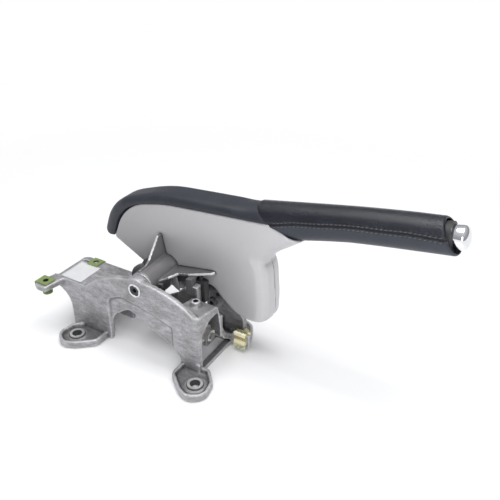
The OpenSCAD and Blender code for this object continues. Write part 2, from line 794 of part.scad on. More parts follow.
module cover_shell() {
    inside = inset(COVER, walled * cover_wall);
    outer = concat(
        rounding(COVER, cover_near_y, 1, cover_round, cover_shares), [side_ring(COVER, lever_y)]
    );
    inner = concat(
        rounding(inside, cover_near_y + cover_wall, 1, cover_round - cover_wall, cover_shares),
        [side_ring(inside, lever_y)]
    );
    n = len(outer[0]);
    m = len(outer);
    base = n * m;
    top = n * (m - 1);
    function between(i, k) = i >= walls_from[k] && i < walls_to[k];
    function is_wall(i) = between(i, 0) || between(i, 1);
    polyhedron(
        points = concat([for (r = outer) each r], [for (r = inner) each r]),
        faces = concat(
            [[for (i = [n - 1:-1:0]) i], [for (i = [0:n - 1]) base + i]],
            [for (i = [0:n - 1])
                let (k = wrap(i + 1, n))
                each is_wall(i) ? concat(
                    [for (j = [0:m - 2]) each quad(j * n + i, j * n + k, (j + 1) * n + i, (j + 1) * n + k)],
                    [for (j = [0:m - 2])
                        let (a = base + j * n, b = base + (j + 1) * n)
                        each quad(a + k, a + i, b + k, b + i)],
                    quad(top + i, top + k, base + top + i, base + top + k)
                ) : quad(i, k, base + i, base + k)],
            [for (s = walls_from, j = [0:m - 2])
                each quad(j * n + s, (j + 1) * n + s, base + j * n + s, base + (j + 1) * n + s)],
            [for (t = walls_to, j = [0:m - 2])
                let (e = t % n)
                each quad(base + j * n + e, base + (j + 1) * n + e, j * n + e, (j + 1) * n + e)]
        )
    );
}

module cover_half() {
    difference() {
        cover_shell();
        pin_x(tube_start - 20, tube_end, lever_y, grip_v, tube_r + gap);
    }
}

// Places of the cover screws in the lever's frame, and their radii
cover_bolts = [[-32, 38], [84, -28]];
cover_bolt_r = 2.2;
cover_head_r = 4.2;
cover_head_t = 1.6;

module cover_near() {
    slot = gusset_t / 2 + gap;
    color([0.78, 0.78, 0.76]) lever_frame() difference() {
        cover_half();
        pin_y(0, 0, cover_near_y - cut, lever_y, hub_r + gap);
        translate([-slot, cover_near_y - cut, 0]) cube([2 * slot, cover_wall + 2 * cut, hub_r + 22.5]);
        translate([0, cover_near_y - cut, -slot]) cube([58.5, cover_wall + 2 * cut, 2 * slot]);
        // Cut-out below the flat gusset, over the bracket
        across(cover_near_y - cut, lever_y + cut) polygon(rounded([
            [8, -60, 0], [84, -60, 0], [81.5, -43.8, 0], [71, -37.5, 12], [52, -13.5, 8],
            [14, -7, 3], [8, -10, 0]
        ]));
    }
}

module cover_far() {
    color([0.74, 0.74, 0.72]) lever_frame()
        difference() {
            translate([0, 2 * lever_y, 0]) mirror([0, 1, 0]) cover_half();
            for (p = cover_bolts) pin_y(p[0], p[1], lever_y, cover_far_y + cut, cover_bolt_r);
        }
}

module cover_screws() {
    color("dimgray") lever_frame() for (p = cover_bolts) {
        pin_y(p[0], p[1], cover_near_y + cover_wall, cover_far_y, cover_bolt_r);
        pin_y(p[0], p[1], cover_far_y, cover_far_y + cover_head_t, cover_head_r);
    }
}

module top_trim() {
    side_gap = 0.2;
    color([0.2, 0.2, 0.21]) lever_frame() difference() {
        across(cover_near_y + side_gap, cover_far_y - side_gap) polygon(rounded(TRIM, per_corner - 1));
        pin_x(tube_start - 2, tube_end, lever_y, grip_v, tube_r + gap);
    }
}

// Rings of the grip, at a depth below its outer face
function grip_ring(s, depth, sides, first = 0, short = 0) = [
    for (k = [0:sides - 1])
        let (
            a = 360 * k / sides,
            v0 = grip_mid(grip_start) + grip_high(grip_start) * sin(a),
            v1 = grip_mid(grip_end) + grip_high(grip_end) * sin(a),
            u = max(first, grip_from(v0)) * (1 - s) + (grip_to(v1) - short) * s
        )
        [u, lever_y - (grip_wide(u) - depth) * cos(a), grip_mid(u) + (grip_high(u) - depth) * sin(a)]
];

// Ring of the grip tube at the same stations
function tube_ring(s, sides) = [
    for (k = [0:sides - 1])
        let (
            a = 360 * k / sides,
            r = tube_r / cos(180 / sides),
            u = grip_ring(s, 0, sides, sleeve_first, sleeve_short)[k][0]
        )
        [u, lever_y - r * cos(a), grip_v + r * sin(a)]
];

// Wall between outer and inner rings, closed at both ends
module tube_loft(outer, inner) {
    n = len(outer[0]);
    m = len(outer);
    base = n * m;
    polyhedron(
        points = concat([for (r = outer) each r], [for (r = inner) each r]),
        faces = concat(
            [for (j = [0:m - 2], i = [0:n - 1])
                let (k = wrap(i + 1, n))
                each quad(j * n + i, j * n + k, (j + 1) * n + i, (j + 1) * n + k)],
            [for (j = [0:m - 2], i = [0:n - 1])
                let (k = wrap(i + 1, n), a = base + j * n, b = base + (j + 1) * n)
                each quad(a + k, a + i, b + k, b + i)],
            [for (i = [0:n - 1]) let (k = wrap(i + 1, n)) each quad(k, i, base + k, base + i)],
            [for (i = [0:n - 1])
                let (k = wrap(i + 1, n), e = (m - 1) * n)
                each quad(e + i, e + k, base + e + i, base + e + k)]
        )
    );
}

grip_sides = 32;
grip_steps = 12;
// The sleeve starts clear of the trim and ends at the collar
sleeve_first = TRIM[3][0] + 2;
sleeve_short = grip_to(grip_v - grip_high(grip_end)) - tube_end;

module grip_leather() {
    color([0.07, 0.07, 0.07]) lever_frame() tube_loft(
        [for (i = [0:grip_steps]) grip_ring(i / grip_steps, 0, grip_sides)],
        [for (i = [0:grip_steps]) grip_ring(i / grip_steps, leather_t, grip_sides)]
    );
}

module grip_sleeve() {
    color([0.25, 0.25, 0.25]) lever_frame() tube_loft(
        [for (i = [0:grip_steps])
            grip_ring(i / grip_steps, leather_t + gap, grip_sides, sleeve_first, sleeve_short)],
        [for (i = [0:grip_steps]) tube_ring(i / grip_steps, grip_sides)]
    );
}

module grip_collar() {
    color([0.1, 0.1, 0.1]) lever_frame() difference() {
        pin_x(tube_end, grip_end + 1, lever_y, grip_v, grip_high(grip_end) - leather_t - 0.9);
        pin_x(tube_end - cut, grip_end + 3, lever_y, grip_v, button_d / 2 + gap);
    }
}

module button_spring() {
    color("gray") lever_frame() translate([0, lever_y, grip_v])
        coil_x(guide_front, stem_rear, tube_r - grip_tube_t - 0.6, 1.2, 6);
}

module push_button() {
    r = button_d / 2;
    stem_r = tube_r - grip_tube_t - gap;
    shoulder = tube_end + 8;
    tip = grip_end + button_out;
    dome = 5;
    edge = 1.2;
    color("gainsboro") lever_frame() translate([0, lever_y, grip_v]) difference() {
        rotate([0, 90, 0]) rotate_extrude() polygon(concat(
            [[0, stem_rear], [stem_r, stem_rear], [stem_r, shoulder], [r, shoulder]],
            [for (i = [0:6])
                let (a = 15 * i)
                [(r - edge) * cos(a) + (i == 0 ? edge : 0), tip - dome + dome * sin(a)]]
        ));
        pin_x(stem_rear - cut, stem_rear + 6, 0, 0, rod_r);
    }
}

module release_rod() {
    color("gray") lever_frame() pin_x(tail_u + 0.4, stem_rear + 6, lever_y, grip_v, rod_r);
}

module pawl() {
    nose = [nose_r * cos(-4), nose_r * sin(-4)];
    color("dimgray") lever_frame() difference() {
        // Tail that the release rod pushes, boss round the pin and beak over the teeth
        across(sector_near, sector_far) polygon(rounded([
            [tail_u, grip_v + 3, 1], [tail_u - 5, grip_v + 3, 1], [pawl_u - 7, pawl_v + 4, 6],
            [pawl_u - 8, pawl_v - 5, 4], [nose[0] + 0.5, nose[1] + 5, 0.5], [nose[0], nose[1], 0],
            [nose[0] + 5, nose[1] - 1, 0.5], [nose[0] + 8, nose[1] + 1, 0.5], [pawl_u + 8, pawl_v - 5, 5],
            [pawl_u + 7, pawl_v + 6, 6], [tail_u, grip_v - 12, 2]
        ]));
        pin_y(pawl_u, pawl_v, sector_near - cut, sector_far + cut, pawl_pin_r + run_clear);
    }
}

module trunnion() {
    journal_half = trunnion_half + gap + pull_arm_t;
    color("gray") difference() {
        union() {
            pin_y(trunnion_x, rod_z, rod_y - trunnion_half, rod_y + trunnion_half, trunnion_r);
            pin_y(trunnion_x, rod_z, rod_y - journal_half, rod_y + journal_half, journal_r);
        }
        rod_frame() pin_x(trunnion_x - 20, trunnion_x + 20, rod_y, rod_z, rod_d / 2);
    }
}

// Frame of the pull rod, tilted about the trunnion axis
module rod_frame()
    translate([trunnion_x, 0, rod_z]) rotate([0, rod_tilt, 0])
        translate([-trunnion_x, 0, -rod_z]) children();

module pull_rod() {
    color("silver") rod_frame() pin_x(clevis_x + clevis_l - 8, rod_front, rod_y, rod_z, rod_d / 2);
}

module take_up_spring() {
    color([0.1, 0.1, 0.1]) rod_frame() translate([0, rod_y, rod_z])
        coil_x(trunnion_x + trunnion_r, washer_front - pull_washer_t, spring_d / 2, spring_wire, 10);
}

module adjuster_washer() {
    color("whitesmoke") rod_frame() difference() {
        pin_x(washer_front - pull_washer_t, washer_front, rod_y, rod_z, spring_d / 2 + 0.5);
        pin_x(washer_front - 10, washer_front + 10, rod_y, rod_z, rod_d / 2);
    }
}

module adjuster_nut() {
    color("silver") rod_frame() difference() {
        pin_x(washer_front, washer_front + nut_h, rod_y, rod_z, rod_d * 0.92, $fn = 6);
        pin_x(washer_front - cut, washer_front + 10, rod_y, rod_z, rod_d / 2);
    }
}

module rod_clevis() {
    half = 6;
    color("gray") rod_frame() difference() {
        translate([clevis_x - 6, rod_y - half, rod_z - half]) cube([clevis_l + 6, 2 * half, 2 * half]);
        translate([clevis_x - 10, rod_y - half - cut, rod_z - bar_t / 2 - 0.2])
            cube([20, 2 * half + 2 * cut, bar_t + 0.4]);
        pin_x(clevis_x + clevis_l - 8, clevis_x + clevis_l + cut, rod_y, rod_z, rod_d / 2);
        pin_z(clevis_x, rod_y, rod_z - half - cut, rod_z + half + cut, pin_r);
    }
}

module equaliser_pin() {
    color("silver") rod_frame() {
        pin_z(clevis_x, rod_y, rod_z - 8, rod_z + 6, pin_r);
        pin_z(clevis_x, rod_y, rod_z + 6, rod_z + 7.2, pin_r + 1.5);
    }
}

module equaliser_bar() {
    color("gray") rod_frame() translate([clevis_x, rod_y, rod_z - bar_t / 2]) difference() {
        linear_extrude(bar_t) polygon(rounded([
            [6, 0, 4], [-1, equaliser_half, 4], [-8, equaliser_half, 3], [-6, 0, 6],
            [-8, -equaliser_half, 3], [-1, -equaliser_half, 4]
        ]));
        pin_z(0, 0, -cut, bar_t + cut, pin_r + run_clear);
        for (s = [-1, 1]) pin_z(-4, s * (equaliser_half - 4), -cut, bar_t + cut, 1.8);
    }
}

bracket_casting();
foot_bushes();
pivot_shaft();
thrust_washer();
shaft_retainer();
ratchet_sector();
sector_screws();
rear_clip_nuts();
front_clip_nut();
stop_buffer();
switch_body();
switch_plunger();
lever_hub();
hub_bushes();
lever_arm();
pawl_pin();
pull_arm();
grip_tube();
rod_guide();
cover_near();
cover_far();
cover_screws();
top_trim();
grip_sleeve();
grip_leather();
grip_collar();
button_spring();
push_button();
release_rod();
pawl();
trunnion();
pull_rod();
take_up_spring();
adjuster_washer();
adjuster_nut();
rod_clevis();
equaliser_pin();
equaliser_bar();
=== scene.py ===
import math

import bmesh
import bpy
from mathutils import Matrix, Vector


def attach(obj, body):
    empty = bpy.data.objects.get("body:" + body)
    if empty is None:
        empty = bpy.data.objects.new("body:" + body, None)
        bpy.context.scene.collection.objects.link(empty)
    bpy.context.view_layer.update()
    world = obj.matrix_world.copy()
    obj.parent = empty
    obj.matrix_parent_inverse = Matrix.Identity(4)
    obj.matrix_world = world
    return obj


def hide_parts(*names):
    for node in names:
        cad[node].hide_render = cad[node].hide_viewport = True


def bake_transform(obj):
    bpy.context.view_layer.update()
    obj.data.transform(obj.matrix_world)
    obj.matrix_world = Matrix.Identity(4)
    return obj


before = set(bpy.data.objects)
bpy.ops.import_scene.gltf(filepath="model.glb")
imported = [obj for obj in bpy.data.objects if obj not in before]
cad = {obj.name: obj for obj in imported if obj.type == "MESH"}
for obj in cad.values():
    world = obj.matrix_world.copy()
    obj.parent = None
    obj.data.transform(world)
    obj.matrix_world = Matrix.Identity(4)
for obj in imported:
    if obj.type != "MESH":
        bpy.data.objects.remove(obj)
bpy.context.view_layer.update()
MM = 0.001
FULL_TURN = 2 * math.pi


# Lever frame: u along the lever, v above its pivot axis, y across, in millimetres
PIVOT = Vector((-3, 0, 74))
LEVER_TILT = math.radians(10)
LEVER_Y = 83


def lever_point(u, v, y):
    return MM * Vector((
        PIVOT.x + u * math.cos(LEVER_TILT) - v * math.sin(LEVER_TILT),
        y,
        PIVOT.z + u * math.sin(LEVER_TILT) + v * math.cos(LEVER_TILT),
    ))


# A step along and across the lever, in millimetres of the shared frame
def lever_step(u, v):
    return (lever_point(u, v, 0) - lever_point(0, 0, 0)) / MM


# What a direction of the shared frame measures along and across the lever
def lever_parts(x, z):
    along_lever = x * math.cos(LEVER_TILT) + z * math.sin(LEVER_TILT)
    across_lever = z * math.cos(LEVER_TILT) - x * math.sin(LEVER_TILT)
    return along_lever, across_lever


# Where a point lies in the lever frame
def lever_place(place):
    return lever_parts(place.x / MM - PIVOT.x, place.z / MM - PIVOT.z)


# Points (at, value) joined by a smooth curve, level beyond its ends
def along(points, at):
    if at <= points[0][0]:
        return points[0][1]
    for (a, p), (b, q) in zip(points, points[1:]):
        if at <= b:
            share = (at - a) / (b - a)
            share = share * share * (3 - 2 * share)
            return p + (q - p) * share
    return points[-1][1]


def clamped(value):
    return max(0, min(1, value))


def bell(offset, width):
    return math.exp(-((offset / width) ** 2))


# Finishes

# A socket takes a link, a colour without its alpha, or a plain value
def fill(tree, socket, value):
    if isinstance(value, bpy.types.NodeSocket):
        tree.links.new(value, socket)
    elif socket.type == "RGBA":
        socket.default_value = (*value, 1)
    else:
        socket.default_value = value


def node(tree, kind, settings=None, **sockets):
    made = tree.nodes.new("ShaderNode" + kind)
    for key, value in (settings or {}).items():
        setattr(made, key, value)
    for key, value in sockets.items():
        fill(tree, made.inputs[key.replace("_", " ")], value)
    return made


def coords(tree, stretch=(1, 1, 1)):
    place = node(tree, "TexCoord").outputs["Object"]
    return node(tree, "Mapping", Vector=place, Scale=stretch).outputs["Vector"]


def noise(tree, place, scale, detail=4, roughness=0.55):
    made = node(tree, "TexNoise", Vector=place, Scale=scale, Detail=detail, Roughness=roughness)
    return made.outputs[0]


def cells(tree, place, scale, feature="F1"):
    made = node(tree, "TexVoronoi", {"feature": feature}, Vector=place, Scale=scale)
    return made.outputs["Distance"]


# Coordinates that noise pushes about by up to a reach, in metres
def wandering(tree, place, scale, detail, reach, stretch=(1, 1, 1)):
    drift = node(tree, "TexNoise", Vector=place, Scale=scale, Detail=detail).outputs["Color"]
    shift = node(tree, "VectorMath", {"operation": "SCALE"}, Vector=drift, Scale=reach)
    moved = node(tree, "VectorMath", {"operation": "ADD"}, Vector=coords(tree, stretch))
    tree.links.new(shift.outputs["Vector"], moved.inputs[1])
    return moved.outputs["Vector"]


def calc(tree, operation, *values):
    made = node(tree, "Math", {"operation": operation})
    for socket, value in zip(made.inputs, values):
        fill(tree, socket, value)
    return made.outputs["Value"]


# A value between low and high, as a share
def share_between(tree, value, low, high):
    return node(tree, "MapRange", Value=value, From_Min=low, From_Max=high).outputs["Result"]


def axis_value(tree, place, axis):
    return node(tree, "SeparateXYZ", Vector=place).outputs[axis]


def ramp(tree, factor, stops):
    made = node(tree, "ValToRGB", Fac=factor)
    band = made.color_ramp
    while len(band.elements) < len(stops):
        band.elements.new(0.5)
    for element, (at, colour) in zip(band.elements, stops):
        element.position = at
        element.color = (*colour, 1)
    return made.outputs["Color"]


def grey(tree, factor, stops):
    return ramp(tree, factor, [(at, (level, level, level)) for at, level in stops])


# Edges lie above 0.5 and creases below it
def by_edge(tree, stops):
    return grey(tree, node(tree, "NewGeometry").outputs["Pointiness"], stops)


def mixed(tree, factor, first, second, blend="MIX"):
    made = node(tree, "Mix", {"data_type": "RGBA", "blend_type": blend})
    fill(tree, made.inputs[0], factor)
    fill(tree, made.inputs[6], first)
    fill(tree, made.inputs[7], second)
    return made.outputs[2]


def new_finish(name, metallic, roughness):
    finish = bpy.data.materials.new(name)
    finish.use_nodes = True
    shader = finish.node_tree.nodes["Principled BSDF"]
    shader.inputs["Metallic"].default_value = metallic
    shader.inputs["Roughness"].default_value = roughness
    return finish, finish.node_tree, shader


# Colour, roughness where it varies, and a height with its relief in metres
def wire(tree, shader, colour, roughness, height, relief):
    tree.links.new(colour, shader.inputs["Base Color"])
    if roughness is not None:
        tree.links.new(roughness, shader.inputs["Roughness"])
    raised = node(tree, "Bump", Strength=1.0, Distance=relief, Height=height)
    tree.links.new(raised.outputs["Normal"], shader.inputs["Normal"])


# Die-cast skin: fine flow streaks, dull stains, bright specks and pits, rubbed edges with a painted
# highlight, and painted shade in the creases
def cast_aluminium(name="cast_aluminium", shade=1.0):
    finish, tree, shader = new_finish(name, 0.5, 0.45)
    place = coords(tree)
    flow = noise(tree, wandering(tree, place, 60.0, 3.0, 0.007, (0.5, 1, 1.25)), 190, 12, 0.74)
    stains = noise(tree, coords(tree, (0.6, 1, 1)), 55, 7, 0.66)
    grain = noise(tree, place, 900, 4, 0.7)
    body = ramp(tree, flow, [
        (0.32, (0.20, 0.195, 0.198)), (0.46, (0.345, 0.341, 0.35)),
        (0.56, (0.435, 0.436, 0.456)), (0.72, (0.66, 0.662, 0.685)),
    ])
    stained = mixed(tree, grey(tree, stains, [(0.47, 0), (0.62, 0.6)]), body, (0.235, 0.225, 0.222))
    specked = mixed(tree, grey(tree, grain, [(0.54, 0), (0.72, 0.45)]), stained, (0.68, 0.677, 0.68))
    pitted = mixed(tree, grey(tree, grain, [(0.30, 0.6), (0.44, 0)]), specked, (0.10, 0.10, 0.105))
    # Edges are lightened both by rubbing and by a painted highlight
    highlighted = mixed(tree, by_edge(tree, [(0.506, 0), (0.56, 0.75)]), pitted, (0.70, 0.70, 0.715))
    # Painted shade darkens the creases
    crease_shade = mixed(tree, by_edge(tree, [(0.46, 1), (0.497, 0)]), highlighted, (0.075, 0.074, 0.078))
    # A shade below 1 makes a darker copy of the skin: painted shade for faces where shade falls
    shade_darkened = mixed(tree, 1.0, crease_shade, (shade, shade, shade), "MULTIPLY")
    rough = grey(tree, flow, [(0.3, 0.38), (0.7, 0.55)])
    wire(tree, shader, shade_darkened, rough, mixed(tree, 0.5, flow, grain), 0.00022)
    return finish


# Steel with a coating in patches; its edges are rubbed and lightened further with a painted highlight
def coated_steel(name, dark, light, metallic=0.85, rough=(0.3, 0.48), scale=70, relief=0.00006, edge=1.45):
    finish, tree, shader = new_finish(name, metallic, rough[0])
    place = coords(tree)
    patches = noise(tree, place, scale, 5)
    grain = noise(tree, place, 1500, 2)
    body = ramp(tree, patches, [(0.33, dark), (0.67, light)])
    edge_highlight = tuple(min(1, edge * c + 0.03) for c in light)
    # Painted highlight, with rubbing, on the edges
    lit = mixed(tree, by_edge(tree, [(0.51, 0), (0.62, 1)]), body, edge_highlight)
    wire(tree, shader, lit, grey(tree, patches, [(0.3, rough[0]), (0.7, rough[1])]), grain, relief)
    return finish


# Toothed plate darkened with painted shade where it runs inside the cover
SHADE_FROM, SHADE_TO = 0.052, 0.070


def shaded_sector_steel():
    finish, tree, shader = new_finish("shaded_sector_steel", 0.5, 0.45)
    place = coords(tree)
    # Painted shade: the plate turns near black above this wavering height, inside the cover
    shade_line = calc(tree, "MULTIPLY_ADD", noise(tree, place, 60, 4), 0.03, axis_value(tree, place, "Z"))
    height = share_between(tree, shade_line, SHADE_FROM, SHADE_TO)
    body = ramp(tree, height, [(0, (0.48, 0.477, 0.485)), (1, (0.012, 0.012, 0.013))])
    wire(tree, shader, body, None, noise(tree, place, 900, 3), 0.00012)
    return finish


def moulding(name, dark, light, rough, grain_scale=2200, relief=0.00004):
    finish, tree, shader = new_finish(name, 0.0, rough[0])
    place = coords(tree)
    tone = noise(tree, place, 60, 3)
    grain = cells(tree, place, grain_scale)
    body = ramp(tree, tone, [(0.3, dark), (0.7, light)])
    wire(tree, shader, body, grey(tree, tone, [(0.3, rough[0]), (0.7, rough[1])]), grain, relief)
    return finish


# Silver paint with flakes, with painted light: lighter from the rear end of the cover to its front
COVER_REAR_X, COVER_FRONT_X = -0.07, 0.11


def silver_paint():
    finish, tree, shader = new_finish("silver_paint", 0.45, 0.4)
    place = coords(tree)
    tone = noise(tree, place, 18, 2)
    flake = noise(tree, place, 1700, 3)
    peel = noise(tree, place, 700, 2)
    # Painted light: the paint grows lighter towards the front of the cover
    reach = share_between(tree, axis_value(tree, place, "X"), COVER_REAR_X, COVER_FRONT_X)
    body = ramp(tree, reach, [
        (0.0, (0.385, 0.381, 0.39)), (0.5, (0.52, 0.515, 0.525)), (1.0, (0.585, 0.58, 0.59)),
    ])
    body = mixed(tree, grey(tree, tone, [(0.35, 0.12), (0.65, 0)]), body, (0.4, 0.396, 0.4))
    body = mixed(tree, grey(tree, flake, [(0.3, 0.3), (0.5, 0)]), body, (0.36, 0.357, 0.365))
    sparkle = mixed(tree, grey(tree, flake, [(0.5, 0), (0.75, 0.4)]), body, (0.76, 0.76, 0.775))
    wire(tree, shader, sparkle, grey(tree, flake, [(0.3, 0.36), (0.7, 0.46)]), peel, 0.00002)
    return finish


# Leather: pebbled grain that wanders, pores, and creases drawn along the grip, lightened with a painted sheen
def leather(name, dark, light, rough, relief, creased):
    finish, tree, shader = new_finish(name, 0.0, rough[0])
    place = coords(tree)
    pebbles = cells(tree, wandering(tree, place, 420.0, 2.0, 0.0011), 1250, "SMOOTH_F1")
    pores = noise(tree, place, 3200, 2)
    creases = noise(tree, coords(tree, (0.3, 1, 1)), 170, 6, 0.65)
    tone = noise(tree, place, 34, 3)
    body = ramp(tree, tone, [(0.3, dark), (0.7, light)])
    # Painted sheen: the creases are lightened towards a brighter copy of the leather's colour
    crease_sheen = tuple(2.2 * c for c in light)
    highlighted = mixed(tree, grey(tree, creases, [(0.52, 0), (0.75, creased)]), body, crease_sheen)
    rubbed = mixed(tree, 0.5, tone, creases)
    height = mixed(tree, 0.3, pebbles, pores)
    height = mixed(tree, 0.7 * creased, height, creases)
    wire(tree, shader, highlighted, grey(tree, rubbed, [(0.3, rough[0]), (0.7, rough[1])]), height, relief)
    return finish


def thread():
    finish, tree, shader = new_finish("grey_thread", 0.0, 0.6)
    place = coords(tree)
    twist = node(tree, "TexWave", Vector=place, Scale=900.0, Distortion=1.5).outputs["Fac"]
    tone = noise(tree, place, 900, 2)
    body = ramp(tree, tone, [(0.3, (0.075, 0.076, 0.085)), (0.7, (0.165, 0.168, 0.182))])
    wire(tree, shader, body, None, twist, 0.00008)
    return finish


def chrome():
    finish, tree, shader = new_finish("polished_chrome", 1.0, 0.08)
    wipe = noise(tree, coords(tree, (1, 3, 3)), 90, 3)
    body = ramp(tree, wipe, [(0.3, (0.80, 0.81, 0.84)), (0.7, (0.88, 0.885, 0.9))])
    rough = grey(tree, wipe, [(0.35, 0.05), (0.7, 0.14)])
    wire(tree, shader, body, rough, noise(tree, coords(tree), 400, 1), 0.000004)
    return finish


def paper():
    finish, tree, shader = new_finish("label_paper", 0.0, 0.45)
    place = coords(tree)
    fibre = noise(tree, place, 1600, 3)
    tone = noise(tree, place, 60, 2)
    body = ramp(tree, tone, [(0.35, (0.60, 0.61, 0.62)), (0.65, (0.67, 0.675, 0.68))])
    wire(tree, shader, body, grey(tree, fibre, [(0.3, 0.4), (0.7, 0.55)]), fibre, 0.00003)
    return finish


FINISH = {
    "casting": cast_aluminium(),
    # Darker copies of the casting, as painted shade where shade falls
    "casting_inside_shade": cast_aluminium("casting_inside_shade", 0.45),
    "casting_pocket_shade": cast_aluminium("casting_pocket_shade", 0.62),
    "bright_steel": coated_steel("zinc_steel", (0.5, 0.5, 0.5), (0.68, 0.67, 0.65)),
    "dark_steel": coated_steel("black_steel", (0.05, 0.05, 0.052), (0.12, 0.12, 0.125), 0.6),
    "plain_steel": coated_steel("plain_steel", (0.3, 0.29, 0.285), (0.46, 0.45, 0.44)),
    "hub_steel": coated_steel(
        "hub_coating", (0.185, 0.181, 0.184), (0.225, 0.22, 0.223), 0.55, (0.38, 0.48), 60, 0.00008, 2.0,
    ),
    "sheared_steel": coated_steel("sheared_steel", (0.6, 0.6, 0.6), (0.8, 0.8, 0.8), 0.3),
    "sector_shade_steel": shaded_sector_steel(),
    "grey_rubber": moulding("grey_rubber", (0.09, 0.09, 0.093), (0.14, 0.14, 0.143), (0.6, 0.75)),
    # Painted shade for the hollow of the clip leaf
    "clip_hollow_shade": coated_steel(
        "clip_hollow_shade", (0.20, 0.15, 0.06), (0.34, 0.27, 0.12), 0.7, (0.25, 0.4), 240,
    ),
    "clip_cream": coated_steel(
        "clip_cream", (0.46, 0.42, 0.26), (0.66, 0.62, 0.44), 0.3, (0.3, 0.45), 240,
    ),
    "blued_steel": coated_steel(
        "blued_steel", (0.010, 0.011, 0.013), (0.022, 0.024, 0.028), 0.3, (0.4, 0.55),
    ),
    "arm_coating": coated_steel(
        "arm_coating", (0.022, 0.022, 0.023), (0.05, 0.05, 0.052), 0.4, (0.4, 0.55),
    ),
    "bronze": coated_steel("sintered_bronze", (0.36, 0.25, 0.12), (0.55, 0.4, 0.2)),
    "green_plating": coated_steel(
        "olive_coating", (0.05, 0.085, 0.018), (0.15, 0.205, 0.06), 0.3, (0.35, 0.5), 260,
    ),
    "gold_plating": coated_steel(
        "yellow_zinc", (0.62, 0.45, 0.13), (0.9, 0.78, 0.42), 0.9, (0.2, 0.36), 240,
    ),
    "black_rubber": moulding("black_rubber", (0.018, 0.018, 0.018), (0.035, 0.035, 0.035), (0.6, 0.75)),
    "black_plastic": moulding("black_plastic", (0.02, 0.02, 0.021), (0.035, 0.035, 0.036), (0.4, 0.55)),
    "white_plastic": moulding("natural_plastic", (0.7, 0.69, 0.66), (0.8, 0.79, 0.76), (0.4, 0.5)),
    "silver_cover": silver_paint(),
    "charcoal_trim": moulding(
        "soft_touch", (0.017, 0.0195, 0.029), (0.025, 0.028, 0.039), (0.42, 0.5), 1900, 0.00005,
    ),
    "black_leather": leather(
        "upper_leather", (0.0045, 0.0054, 0.0098), (0.0105, 0.0122, 0.0205), (0.15, 0.30), 0.0006, 0.5,
    ),
    "lower_leather": leather(
        "lower_leather", (0.021, 0.0245, 0.037), (0.028, 0.0325, 0.047), (0.40, 0.48), 0.00012, 0.15,
    ),
    # Painted shade along the seam's groove
    "seam_shade": moulding("seam_shade", (0.004, 0.0043, 0.006), (0.007, 0.0075, 0.01), (0.5, 0.6)),
    "chrome": chrome(),
    "black_spring": coated_steel(
        "black_spring", (0.018, 0.018, 0.018), (0.05, 0.05, 0.052), 0.5, (0.3, 0.45),
    ),
    "thread": thread(),
    "label": paper(),
    # Painted shade for the inner faces of the cover
    "cover_inner_shade": moulding("cover_inner_shade", (0.03, 0.03, 0.031), (0.045, 0.045, 0.046), (0.55, 0.7)),
    "white_paint": moulding(
        "white_paint", (0.72, 0.72, 0.73), (0.84, 0.84, 0.85), (0.5, 0.65), 900, 0.00006,
    ),
}

# Finish of each solid
SLOT_NODES = {
    "casting": ["bracket_casting"],
    "bright_steel": ["thrust_washer", "equaliser_pin", "equaliser_bar", "release_rod"],
    "blued_steel": ["pivot_shaft"],
    "dark_steel": [
        "shaft_retainer", "pawl", "pawl_pin", "cover_screws", "pull_arm", "sector_screws", "pull_rod",
    ],
    "sector_shade_steel": ["ratchet_sector"],
    "plain_steel": [
        "foot_bushes", "grip_tube", "trunnion", "rod_clevis", "button_spring", "adjuster_washer",
        "adjuster_nut",
    ],
    "arm_coating": ["lever_arm"],
    "hub_steel": ["lever_hub"],
    "bronze": ["hub_bushes"],
    "green_plating": ["rear_clip_nuts"],
    "gold_plating": ["front_clip_nut"],
    "black_rubber": ["grip_sleeve"],
    "grey_rubber": ["stop_buffer"],
    "black_plastic": ["switch_body", "switch_plunger", "grip_collar"],
    "white_plastic": ["rod_guide"],
    "silver_cover": ["cover_near", "cover_far"],
    "charcoal_trim": ["top_trim"],
    "black_leather": ["grip_leather"],
    "chrome": ["push_button"],
    "black_spring": ["take_up_spring"],
}
# Each solid takes the finish of its slot
for slot_name, members in SLOT_NODES.items():
    for member in members:
        surface = cad[member].data
        surface.materials.clear()
        surface.materials.append(FINISH[slot_name])


# Pieces

def settle(name, bm, body, finish, smooth=True):
    mesh = bpy.data.meshes.new(name)
    bm.to_mesh(mesh)
    bm.free()
    for face in mesh.polygons:
        face.use_smooth = smooth
    piece = bpy.data.objects.new(name, mesh)
    bpy.context.scene.collection.objects.link(piece)
    mesh.materials.append(FINISH[finish])
    if body:
        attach(piece, body)
    return piece


def made_solid(piece):
    shape = piece.evaluated_get(bpy.context.evaluated_depsgraph_get())
    mesh = bpy.data.meshes.new_from_object(shape)
    piece.modifiers.clear()
    old = piece.data
    piece.data = mesh
    bpy.data.meshes.remove(old)


# Gives a sheet its thickness, in mm, inwards (-1) or to both sides (0)
def thickened(piece, thickness, offset):
    wall = piece.modifiers.new("wall", "SOLIDIFY")
    wall.thickness = thickness * MM
    wall.offset = offset
    made_solid(piece)


def extruded(bm, edges):
    made = bmesh.ops.extrude_edge_only(bm, edges=edges)["geom"]
    verts = [g for g in made if isinstance(g, bmesh.types.BMVert)]
    return verts, [g for g in made if isinstance(g, bmesh.types.BMEdge)]


# Turns a profile once round an axis; a closed one also joins its last point to its first
def turned(bm, points, centre, axis, steps, closed=True):
    verts = [bm.verts.new(point) for point in points]
    ends = verts[1:] + verts[:1] if closed else verts[1:]
    edges = [bm.edges.new(pair) for pair in zip(verts, ends)]
    bmesh.ops.spin(
        bm, geom=verts + edges, cent=centre, axis=axis, angle=FULL_TURN, steps=steps, use_merge=True,
    )


